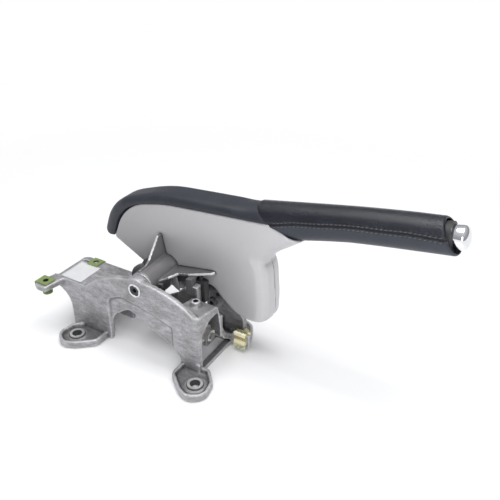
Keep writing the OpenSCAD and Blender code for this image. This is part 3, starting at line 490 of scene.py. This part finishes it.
# A copy of a solid with its edges cast or moulded round; shape gives how far a point of it moves, in mm
def softened(name, member, body, finish, voxel, rounds, shape=None):
    bm = bmesh.new()
    bm.from_mesh(cad[member].data)
    bmesh.ops.remove_doubles(bm, verts=bm.verts, dist=1e-6)
    piece = settle(name, bm, body, finish)
    skin = piece.modifiers.new("skin", "REMESH")
    skin.mode = "VOXEL"
    skin.voxel_size = voxel * MM
    skin.use_smooth_shade = True
    made_solid(piece)
    if shape:
        moves = [shape(vert.co, vert.normal) for vert in piece.data.vertices]
        for vert, move in zip(piece.data.vertices, moves):
            vert.co += MM * move
    relax = piece.modifiers.new("relax", "SMOOTH")
    relax.factor = 0.5
    relax.iterations = rounds
    made_solid(piece)
    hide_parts(member)
    return piece


# Faces of a piece for which the test holds take a further finish
def further_finish(piece, finish, test):
    piece.data.materials.append(FINISH[finish])
    last = len(piece.data.materials) - 1
    for face in piece.data.polygons:
        if test(face.center, face.normal):
            face.material_index = last


# Section of the leather grip along the lever: its middle, half height and half width
GRIP_END = 276
GRIP_V = 54
GRIP_HIGH, GRIP_WIDE = 15.1, 15.3
GRIP_BOW, BOW_FROM, BOW_SPAN = 2.6, 100, 188


def grip_mid(u):
    return GRIP_V + GRIP_BOW * math.sin(math.pi * (u - BOW_FROM) / BOW_SPAN)


def grip_high(u):
    to_cover = max(0, (190 - u) / 80)
    to_button = max(0, (u - 250) / 26)
    return GRIP_HIGH + 1.6 * to_cover ** 2 - 0.3 * to_button


def grip_wide(u):
    to_cover = max(0, (170 - u) / 60)
    return GRIP_WIDE + 0.4 * to_cover


# The cover's halves meet in a groove round the rim, and its lower front end is drawn out ahead and down;
# each is a curve along u times one along v
RIM_GROOVE, GROOVE_HALF = 1.3, 1.2
AHEAD_BY_U, AHEAD_BY_V = [(60, 0), (104, 4.2)], [(-45, 1.2), (8, 0.9), (22, 0)]
DOWN_BY_U, DOWN_BY_V = [(0, 0), (45, 4.5)], [(-30, 1), (5, 0)]


def cover_form(place, normal):
    u, v = lever_place(place)
    off = place.y / MM - LEVER_Y
    on_side = abs(normal.y) > 0.7
    depth = 0 if on_side else -RIM_GROOVE * bell(off, GROOVE_HALF)
    ahead = along(AHEAD_BY_U, u) * along(AHEAD_BY_V, v)
    down = along(DOWN_BY_U, u) * along(DOWN_BY_V, v)
    return depth * normal + lever_step(ahead, -down)


# The trim is rounded down to its sides: its thickness above the cover shrinks towards the near and far
# faces, and its front end takes up the round section of the grip
TRIM_FOOT = [
    (-63.3, 26.2), (-57, 40), (-50, 50), (-38.3, 58.5), (-20, 63.4), (14, 66.2), (60, 63.2), (124.8, 56.4),
]
TRIM_HALF = 15.8
TRIM_ROUND = 8
TRIM_THICK = 11.5
TRIM_MOST_DROP = 0.7
TRIM_TOP_U, TRIM_TOP_V, TRIM_TOP_SLOPE = 6, 76.5, 0.096
TRIM_UNDER_GRIP, TRIM_SIDE_ROOM = 0.6, 0.3
TRIM_TO_GRIP = [(82, 0), (114, 1)]


def trim_crown(place, normal):
    u, v = lever_place(place)
    spot = Vector((u, v))
    foot, best = None, 1e9
    for a, b in zip(TRIM_FOOT, TRIM_FOOT[1:]):
        a, b = Vector(a), Vector(b)
        near = a + clamped((spot - a).dot(b - a) / (b - a).length_squared) * (b - a)
        if (spot - near).length < best:
            foot, best = near, (spot - near).length
    off = place.y / MM - LEVER_Y
    inside = max(0, TRIM_HALF - abs(off))
    reach = max(0, TRIM_ROUND - inside)
    drop = TRIM_ROUND - math.sqrt(TRIM_ROUND ** 2 - reach ** 2)
    moved = (foot - spot) * min(TRIM_MOST_DROP, drop / TRIM_THICK)
    across = off / (grip_wide(u) + TRIM_SIDE_ROOM)
    arch = grip_mid(u) + grip_high(u) * math.sqrt(max(0, 1 - across ** 2))
    top = TRIM_TOP_V - TRIM_TOP_SLOPE * (u - TRIM_TOP_U)
    round_end = Vector((0, (arch - TRIM_UNDER_GRIP - top) * min(1, best / TRIM_THICK)))
    return lever_step(*moved.lerp(round_end, along(TRIM_TO_GRIP, u)))


# Inner faces of the cover look towards its middle plane or, on the rim, towards its centre, and take painted
# shade; the parting groove, the side faces and the neck under the grip keep the silver paint
COVER_NECK_U = 112
COVER_CENTRE = (30, 20)
INNER_FROM, INNER_TO = 2.5, 14


def inside_cover(place, normal):
    u, v = lever_place(place)
    off = place.y / MM - LEVER_Y
    if u > COVER_NECK_U or not INNER_FROM < abs(off) < INNER_TO:
        return False
    if abs(normal.y) > 0.6:
        return off * normal.y < 0
    ahead, up = lever_parts(normal.x, normal.z)
    return ahead * (COVER_CENTRE[0] - u) + up * (COVER_CENTRE[1] - v) > 0


# Faces of the casting inside its channel, and the undersides of its roof and plate, take painted shade
CHANNEL_REAR, CHANNEL_FRONT = -44, 66
CHANNEL_NEAR, CHANNEL_FAR = 21.5, 55
NEAR_WALL_IN, FAR_WALL_IN = 30, 48


def inside_casting(place, normal):
    x, y = place.x / MM, place.y / MM
    if not (CHANNEL_NEAR < y < CHANNEL_FAR and CHANNEL_REAR < x < CHANNEL_FRONT):
        return False
    near_wall = normal.y > 0.35 and y < NEAR_WALL_IN
    far_wall = normal.y < -0.35 and y > FAR_WALL_IN
    return near_wall or far_wall or normal.z < -0.3


# Recessed floors of the feet, which take painted shade
POCKET_TOP = 5.8


def foot_pocket(place, normal):
    return normal.z > 0.5 and place.z < POCKET_TOP * MM


# Sheared edges of the hub's gussets, which slope outwards and to the near side
GUSSET_FROM_R = 18


def sheared_edge(place, normal):
    out = Vector((place.x / MM - PIVOT.x, 0, place.z / MM - PIVOT.z))
    away = normal.dot(out.normalized())
    return out.length > GUSSET_FROM_R and away > 0.2 and normal.y < -0.1


casting_skin = softened("casting_skin", "bracket_casting", "bracket", "casting", 1.0, 8)
# Painted shade inside the channel, under the roof and plate, and on the feet's recessed floors
further_finish(casting_skin, "casting_inside_shade", inside_casting)
further_finish(casting_skin, "casting_pocket_shade", foot_pocket)
for side in ("near", "far"):
    cover_skin = softened(f"cover_{side}_skin", f"cover_{side}", "lever", "silver_cover", 0.9, 12, cover_form)
    # Inner faces of the cover take painted shade
    further_finish(cover_skin, "cover_inner_shade", inside_cover)
softened("trim_skin", "top_trim", "lever", "charcoal_trim", 0.9, 24, trim_crown)
hub_skin = softened("hub_skin", "lever_hub", "lever", "hub_steel", 0.55, 1)
further_finish(hub_skin, "sheared_steel", sheared_edge)


# Leather wrap with a sewn seam along each side. It starts in a curve that runs back over the top of the
# trim and forward down to the cover, and its lower edge is tucked under the cover
SEAM = [(110, 54.5), (124, 56), (154, 58.8), (199, 60.4), (240, 59.5), (280, 57)]
SEAM_START = 124
STITCH_ROWS = (-1.7, 1.7)
STITCH_PITCH = 3.8
LEATHER_START = 146
LEATHER_THICK = 1.1
# Start of the wrap level with the trim's edge, and how it moves on below that and back above it
WRAP_START, START_SLOPE, START_CURVE, START_BACK = 117, 0.75, 0.028, 0.55
START_LOW, START_HIGH = GRIP_V + 12, GRIP_V + 4
WRAP_OVERHANG, END_SLOPE = 1, 0.34
# Heights below which the start is tucked in, over which fade and how far
TUCKS = [(66, 12, 4), (50, 8, 24)]
GROOVE_DEEP, SEAM_GROOVE = 1.0, 0.75
PADDING, PAD_OFFSET, PAD_HALF = 0.3, 2.3, 1.6
PUCKER, PUCKER_OFFSET, PUCKER_HALF = 0.4, 1.7, 1.0
ROLL_DEEP, ROLL_LONG = 1.4, 2.2
FULLNESS, FULL_TO, FULL_FADE = 2.4, 195, 48
SEAM_HALF, LOWER_FROM = 0.8, -0.2


def grip_from(v):
    low = max(0, START_LOW - v)
    high = max(0, v - START_HIGH)
    return WRAP_START + START_SLOPE * low + START_CURVE * low * low - START_BACK * high


def grip_to(v):
    return GRIP_END + WRAP_OVERHANG - END_SLOPE * (v - GRIP_V)


def grip_height(u, angle, proud=0.0):
    return grip_mid(u) + (grip_high(u) + proud) * math.sin(angle)


def grip_point(u, angle, proud=0.0):
    side = (grip_wide(u) + proud) * math.cos(angle)
    return lever_point(u, grip_height(u, angle, proud), LEVER_Y - side)


def seam_angle(u, offset):
    rise = along(SEAM, u) + offset - grip_mid(u)
    return math.asin(max(-0.95, min(0.95, rise / grip_high(u))))


# How far above the seam a face of the wrap lies; the leather below the seam is smoother
def seam_offset(face):
    u, v = lever_place(face.calc_center_median())
    return v - along(SEAM, u)


# How far the wrap stands out at a point: the seam's groove, the padding and puckers beside it, the
# rolled ends, and a fuller underside near the cover
def wrap_relief(u, angle, first, last):
    off = grip_height(u, angle) - along(SEAM, u)
    groove = -GROOVE_DEEP * bell(off, SEAM_GROOVE)
    padding = PADDING * bell(abs(off) - PAD_OFFSET, PAD_HALF)
    wave = math.sin(FULL_TURN * u / STITCH_PITCH)
    pucker = PUCKER * wave * bell(abs(off) - PUCKER_OFFSET, PUCKER_HALF)
    to_end = min(u - first, last - u)
    rolled = -ROLL_DEEP * max(0, 1 - to_end / ROLL_LONG) ** 2
    full = FULLNESS * max(0, -math.sin(angle)) ** 2 * clamped((FULL_TO - u) / FULL_FADE)
    return groove + padding + pucker + rolled + full


def grip_wrap():
    around, lengths = 176, 150
    bm = bmesh.new()
    bmesh.ops.create_circle(bm, segments=around, radius=1, cap_ends=False)
    edges = bm.edges[:]
    for step in range(lengths):
        moved, edges = extruded(bm, edges)
        bmesh.ops.translate(bm, vec=(0, 0, 1 / lengths), verts=moved)
    for vert in bm.verts:
        share = vert.co.z
        angle = math.atan2(vert.co.y, vert.co.x)
        near_v, end_v = grip_height(LEATHER_START, angle), grip_height(GRIP_END, angle)
        tucked = sum(deep * clamped((top - near_v) / fade) for top, fade, deep in TUCKS)
        first, last = grip_from(near_v) - tucked, grip_to(end_v)
        u = first + (last - first) * share
        vert.co = grip_point(u, angle, wrap_relief(u, angle, first, last))
    bmesh.ops.recalc_face_normals(bm, faces=bm.faces)
    offsets = [seam_offset(face) for face in bm.faces]
    piece = settle("grip_wrap", bm, "lever", "black_leather")
    piece.data.materials.append(FINISH["lower_leather"])
    piece.data.materials.append(FINISH["seam_shade"])
    # Faces along the seam take painted shade, those below it the smoother lower leather
    for face, offset in zip(piece.data.polygons, offsets):
        if abs(offset) < SEAM_HALF:
            face.material_index = 2
        elif offset < LOWER_FROM:
            face.material_index = 1
    thickened(piece, LEATHER_THICK, -1)
    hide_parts("grip_leather")


# Stitches are bent grains that lie in a row beside the seam
STITCH_HALF_LONG, STITCH_HALF_THICK = 1.45, 0.34
STITCH_BEND, STITCH_PROUD = 0.25, 0.28


def grip_stitches(name, row, far):
    bm = bmesh.new()
    u = grip_from(along(SEAM, SEAM_START)) + 3
    while u < GRIP_END - 2:
        angle = seam_angle(u, row)
        angle = math.pi - angle if far else angle
        middle = grip_point(u, angle, STITCH_PROUD)
        ahead = grip_point(u + 1, angle, STITCH_PROUD) - grip_point(u - 1, angle, STITCH_PROUD)
        ahead = ahead.normalized()
        out = (grip_point(u, angle, 2) - middle).normalized()
        side = out.cross(ahead).normalized()
        out = ahead.cross(side)
        for vert in bmesh.ops.create_uvsphere(bm, u_segments=8, v_segments=6, radius=1)["verts"]:
            length = STITCH_HALF_LONG * vert.co.x
            width = STITCH_HALF_THICK * vert.co.y
            height = STITCH_HALF_THICK * vert.co.z - STITCH_BEND * vert.co.x ** 2
            vert.co = middle + MM * (length * ahead + width * side + height * out)
        u += STITCH_PITCH
    bmesh.ops.recalc_face_normals(bm, faces=bm.faces)
    settle(name, bm, "lever", "thread")


grip_wrap()
for number, row in enumerate(STITCH_ROWS):
    grip_stitches(f"stitches_near_{number}", row, False)
    grip_stitches(f"stitches_far_{number}", row, True)


# Push button with a polished dome, turned about the grip's axis
GUIDE_FRONT = 232
STEM_REAR, STEM_R = 250, 6.9
CAP_REAR, CAP_FRONT, CAP_R, CAP_EDGE = 274, 284.5, 9.8, 0.5
DOME_LONG, DOME_STEPS = 5, 12


def push_button():
    profile = [
        (STEM_REAR, 0), (STEM_REAR, STEM_R), (CAP_REAR - 0.4, STEM_R),
        (CAP_REAR, CAP_R - CAP_EDGE), (CAP_REAR + CAP_EDGE, CAP_R), (CAP_FRONT, CAP_R),
    ]
    for step in range(1, DOME_STEPS):
        turn = math.radians(7.5 * step)
        profile.append((CAP_FRONT + DOME_LONG * math.sin(turn), CAP_R * (1 - 0.9 * (1 - math.cos(turn)))))
    profile.append((CAP_FRONT + DOME_LONG, 0))
    bm = bmesh.new()
    turned(bm, [(u, 0, r) for u, r in profile], (0, 0, 0), (1, 0, 0), 72, closed=False)
    bmesh.ops.remove_doubles(bm, verts=bm.verts, dist=1e-4)
    bmesh.ops.recalc_face_normals(bm, faces=bm.faces)
    for vert in bm.verts:
        vert.co = lever_point(vert.co.x, GRIP_V + vert.co.z, LEVER_Y + vert.co.y)
    piece = settle("button_cap", bm, "button", "chrome")
    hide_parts("push_button")


# Blank label on the rear plate, its corners lifted a little
LABEL_MIDDLE = Vector((-90.5, 34, 56.16))
LABEL_HALF_X, LABEL_HALF_Y = 13.5, 15.2
LABEL_CURL, LABEL_THICK = 0.10, 0.12


def rear_label():
    bm = bmesh.new()
    bmesh.ops.create_grid(bm, x_segments=12, y_segments=14, size=1)
    for vert in bm.verts:
        x, y = vert.co.x, vert.co.y
        curl = LABEL_CURL * (abs(x) ** 6 + abs(y) ** 6)
        vert.co = MM * (LABEL_MIDDLE + Vector((LABEL_HALF_X * x, LABEL_HALF_Y * y, curl)))
    thickened(settle("rear_label", bm, "bracket", "label"), LABEL_THICK, -1)


# Paint ring round the staked end of the shaft, its inner edge bitten by the four stakes
PAINT_INNER, PAINT_OUTER, PAINT_Y, PAINT_THICK = 5.6, 7.0, 15.3, 0.9


def pivot_paint():
    bm = bmesh.new()
    bmesh.ops.create_circle(bm, segments=96, radius=PAINT_INNER)
    rim = set(extruded(bm, bm.edges[:])[0])
    for vert in bm.verts:
        turn = math.atan2(vert.co.y, vert.co.x)
        if vert in rim:
            radius = PAINT_OUTER * (1 + 0.02 * math.sin(3 * turn + 1) + 0.012 * math.sin(7 * turn))
        else:
            bite = 0.6 * max(0, math.cos(4 * turn + 0.6)) ** 3
            radius = PAINT_INNER - bite + 0.12 * math.sin(5 * turn)
        x, z = PIVOT.x + radius * math.cos(turn), PIVOT.z + radius * math.sin(turn)
        vert.co = MM * Vector((x, PAINT_Y, z))
    bmesh.ops.recalc_face_normals(bm, faces=bm.faces)
    thickened(settle("pivot_paint", bm, "bracket", "white_paint"), PAINT_THICK, 0)


# Dark joint between the shaft's end and its hole, in radii and places across
def pivot_joint():
    profile = [(4.3, 15.6), (5.8, 15.6), (5.8, 15.25), (4.3, 15.25)]
    bm = bmesh.new()
    middle = MM * PIVOT
    turned(bm, [middle + MM * Vector((r, y, 0)) for r, y in profile], middle, (0, 1, 0), 64)
    bmesh.ops.remove_doubles(bm, verts=bm.verts, dist=1e-7)
    bmesh.ops.recalc_face_normals(bm, faces=bm.faces)
    settle("pivot_joint", bm, "bracket", "blued_steel", False)


# Round wire wound from start to stop; place puts its points, given along the axis and across it
def wound_spring(name, body, finish, wire_r, coil_r, turns, start, stop, place):
    per_turn = 30
    start, stop = start + wire_r, stop - wire_r
    bm = bmesh.new()
    made = bmesh.ops.create_circle(bm, segments=12, radius=wire_r)["verts"]
    bmesh.ops.translate(bm, vec=(start, coil_r, 0), verts=made)
    steps = turns * per_turn
    bmesh.ops.spin(
        bm, geom=bm.verts[:] + bm.edges[:], cent=(0, 0, 0), axis=(1, 0, 0), angle=FULL_TURN * turns,
        dvec=((stop - start) / steps, 0, 0), steps=steps,
    )
    bmesh.ops.holes_fill(bm, edges=bm.edges, sides=0)
    bmesh.ops.recalc_face_normals(bm, faces=bm.faces)
    for vert in bm.verts:
        vert.co = place(*vert.co)
    return settle(name, bm, body, finish)


# Take-up spring on the tilted pull rod, from the trunnion to the adjuster washer
TRUNNION = Vector((-13, 42.5, 36))
ROD_TILT = math.radians(5.3)


def rod_point(ahead, side, up):
    return MM * (TRUNNION + Vector((
        ahead * math.cos(ROD_TILT) + up * math.sin(ROD_TILT),
        side,
        up * math.cos(ROD_TILT) - ahead * math.sin(ROD_TILT),
    )))


def take_up_coil():
    piece = wound_spring("spring_coil", "rod", "black_spring", 1.2, 7.3, 10, 8, 68.5, rod_point)
    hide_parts("take_up_spring")


# The button's spring is pressed together between the rod guide and the button's stem
def button_coil():
    start, stop = GUIDE_FRONT, STEM_REAR
    piece = wound_spring(
        "button_coil", None, "plain_steel", 0.6, 6, 6, start, stop,
        lambda u, side, up: lever_point(u, GRIP_V + up, LEVER_Y + side),
    )
    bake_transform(piece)
    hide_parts("button_spring")


# Round dark bands about upright axes; the profile is in radii and heights
def upright_bands(name, places, profile):
    bm = bmesh.new()
    for x, y in places:
        points = [MM * Vector((x + r, y, up)) for r, up in profile]
        turned(bm, points, MM * Vector((x, y, 0)), (0, 0, 1), 48)
    bmesh.ops.remove_doubles(bm, verts=bm.verts, dist=1e-7)
    bmesh.ops.recalc_face_normals(bm, faces=bm.faces)
    settle(name, bm, "bracket", "blued_steel", False)


# Bent leaf of the front clip: rolled top, hollow painted brown as shade, and turned-out lip, as (y, z), and
# its width along X
LEAF_BEND = [(68.9, 21.0), (67.4, 20.2), (67.1, 17.6), (68.5, 16.6), (68.5, 12.2), (67.2, 11.2), (66.2, 8.6)]
LEAF_X, LEAF_WIDE, LEAF_THICK = 73.7, 12.6, 0.5
HOLLOW_LOW, HOLLOW_TOP = 12.3, 16.5


def clip_leaf():
    bm = bmesh.new()
    verts = [bm.verts.new(MM * Vector((LEAF_X, y, z))) for y, z in LEAF_BEND]
    moved, _ = extruded(bm, [bm.edges.new(pair) for pair in zip(verts, verts[1:])])
    bmesh.ops.translate(bm, vec=(LEAF_WIDE * MM, 0, 0), verts=moved)
    bmesh.ops.recalc_face_normals(bm, faces=bm.faces)
    piece = settle("clip_leaf", bm, "bracket", "clip_cream", False)
    thickened(piece, LEAF_THICK, 0)
    # Painted shade: the hollow takes a brown copy of the leaf's plating
    further_finish(piece, "clip_hollow_shade", lambda place, normal: HOLLOW_LOW < place.z / MM < HOLLOW_TOP)


# Threads of the rear clip nuts, joints round the foot bushes, and dark liners as painted shade in the bushes'
# holes and the boss's hole
CLIP_LOW, CLIP_TOP = 43.3, 56.9
CLIP_NUTS = [(-109, 3), (-89, 55)]
CLIP_THREAD = [(2.97, CLIP_LOW), (2.97, CLIP_TOP)]
CLIP_THREAD += [(2.4 + 0.35 * (k % 2), CLIP_TOP - 0.5 * k) for k in range(28)]
BUSHES = [(73, 0), (-73, 0), (66, 90), (-80, 90)]
BUSH_JOINT = [(7.5, 5.2), (8.3, 5.2), (8.3, 5.66), (7.5, 5.66)]
BUSH_HOLE_SHADE = [(4.5, 0.4), (4.96, 0.4), (4.96, 6.3), (4.6, 6.3)]
BOSS = [(50, 39)]
BOSS_HOLE_SHADE = [(0.05, 61), (2.3, 61), (2.3, 67.4), (1.9, 67.4), (1.9, 61.5), (0.05, 61.5)]

upright_bands("clip_threads", CLIP_NUTS, CLIP_THREAD)
upright_bands("bush_joints", BUSHES, BUSH_JOINT)
upright_bands("bush_hole_shade", BUSHES, BUSH_HOLE_SHADE)
upright_bands("boss_hole_shade", BOSS, BOSS_HOLE_SHADE)
clip_leaf()
push_button()
rear_label()
pivot_paint()
pivot_joint()
take_up_coil()
button_coil()


# Floor, light and camera

# The floor glows white away from the part where it is looked at, and only there
FLOOR_HALF, FLOOR_Z = 40, -0.0002
GLOW_FROM, GLOW_TO = 0.25, 0.7


def floor():
    bm = bmesh.new()
    bmesh.ops.create_grid(bm, x_segments=1, y_segments=1, size=FLOOR_HALF)
    mesh = bpy.data.meshes.new("floor")
    bm.to_mesh(mesh)
    bm.free()
    ground = bpy.data.objects.new("floor", mesh)
    ground.location.z = FLOOR_Z
    bpy.context.scene.collection.objects.link(ground)
    finish, tree, shader = new_finish("floor_paper", 0.0, 0.9)
    fill(tree, shader.inputs["Specular IOR Level"], 0.0)
    fill(tree, shader.inputs["Base Color"], (0.93, 0.93, 0.935))
    place = node(tree, "TexCoord").outputs["Object"]
    reach = node(tree, "VectorMath", {"operation": "LENGTH"}, Vector=place).outputs["Value"]
    away = share_between(tree, reach, GLOW_FROM, GLOW_TO)
    seen = node(tree, "LightPath").outputs
    sight = calc(tree, "MAXIMUM", seen["Is Camera Ray"], seen["Is Glossy Ray"])
    sight = calc(tree, "MAXIMUM", sight, seen["Is Transmission Ray"])
    glow = node(tree, "Emission", Color=(1, 1, 1), Strength=1.0).outputs["Emission"]
    share = calc(tree, "MULTIPLY", away, sight)
    blend = node(tree, "MixShader")
    for socket, value in zip(blend.inputs, (share, shader.outputs["BSDF"], glow)):
        fill(tree, socket, value)
    tree.links.new(blend.outputs["Shader"], tree.nodes["Material Output"].inputs["Surface"])
    mesh.materials.append(finish)


def soft_light(name, place, aim, width, depth, power):
    lamp = bpy.data.lights.new(name, "AREA")
    lamp.shape = "RECTANGLE"
    lamp.size = width
    lamp.size_y = depth
    lamp.energy = power
    holder = bpy.data.objects.new(name, lamp)
    holder.location = place
    holder.rotation_euler = (Vector(aim) - Vector(place)).to_track_quat("-Z", "Y").to_euler()
    bpy.context.scene.collection.objects.link(holder)


def sky():
    world = bpy.data.worlds.new("studio")
    bpy.context.scene.world = world
    world.use_nodes = True
    tree = world.node_tree
    up = axis_value(tree, node(tree, "TexCoord").outputs["Generated"], "Z")
    tint = ramp(tree, up, [
        (0.0, (0.29, 0.293, 0.313)), (0.35, (0.37, 0.374, 0.394)), (1.0, (0.72, 0.725, 0.745)),
    ])
    background = tree.nodes["Background"]
    tree.links.new(tint, background.inputs["Color"])
    background.inputs["Strength"].default_value = 1.0


# The photo's camera: its place in mm, the way it looks, and its focal length in pixels of the picture
CAMERA_PLACE = Vector((336.7, -348.0, 410.2))
CAMERA_AZIMUTH, CAMERA_ELEVATION = math.radians(30.5), math.radians(31)
FOCAL_PIXELS, PICTURE_PIXELS = 630, 500
SENSOR = 36


def camera():
    back = Vector((
        math.sin(CAMERA_AZIMUTH) * math.cos(CAMERA_ELEVATION),
        -math.cos(CAMERA_AZIMUTH) * math.cos(CAMERA_ELEVATION),
        math.sin(CAMERA_ELEVATION),
    ))
    lens = bpy.data.cameras.new("camera")
    lens.sensor_width = SENSOR
    lens.lens = SENSOR * FOCAL_PIXELS / PICTURE_PIXELS
    lens.clip_start = 0.01
    holder = bpy.data.objects.new("camera", lens)
    holder.location = MM * CAMERA_PLACE
    holder.rotation_euler = back.to_track_quat("Z", "Y").to_euler()
    bpy.context.scene.collection.objects.link(holder)
    bpy.context.scene.camera = holder


floor()
sky()
soft_light("overhead", (0.05, 0.15, 1.3), (0.05, 0.08, 0), 1.1, 0.8, 11)
soft_light("side", (0.42, -0.46, 0.34), (0.08, 0.05, 0.06), 0.35, 0.35, 1.5)
soft_light("strip", (0.2, 0.1, 0.95), (0.2, 0.085, 0.1), 0.9, 0.02, 0.5)
camera()
bpy.context.scene.view_settings.view_transform = "Standard"
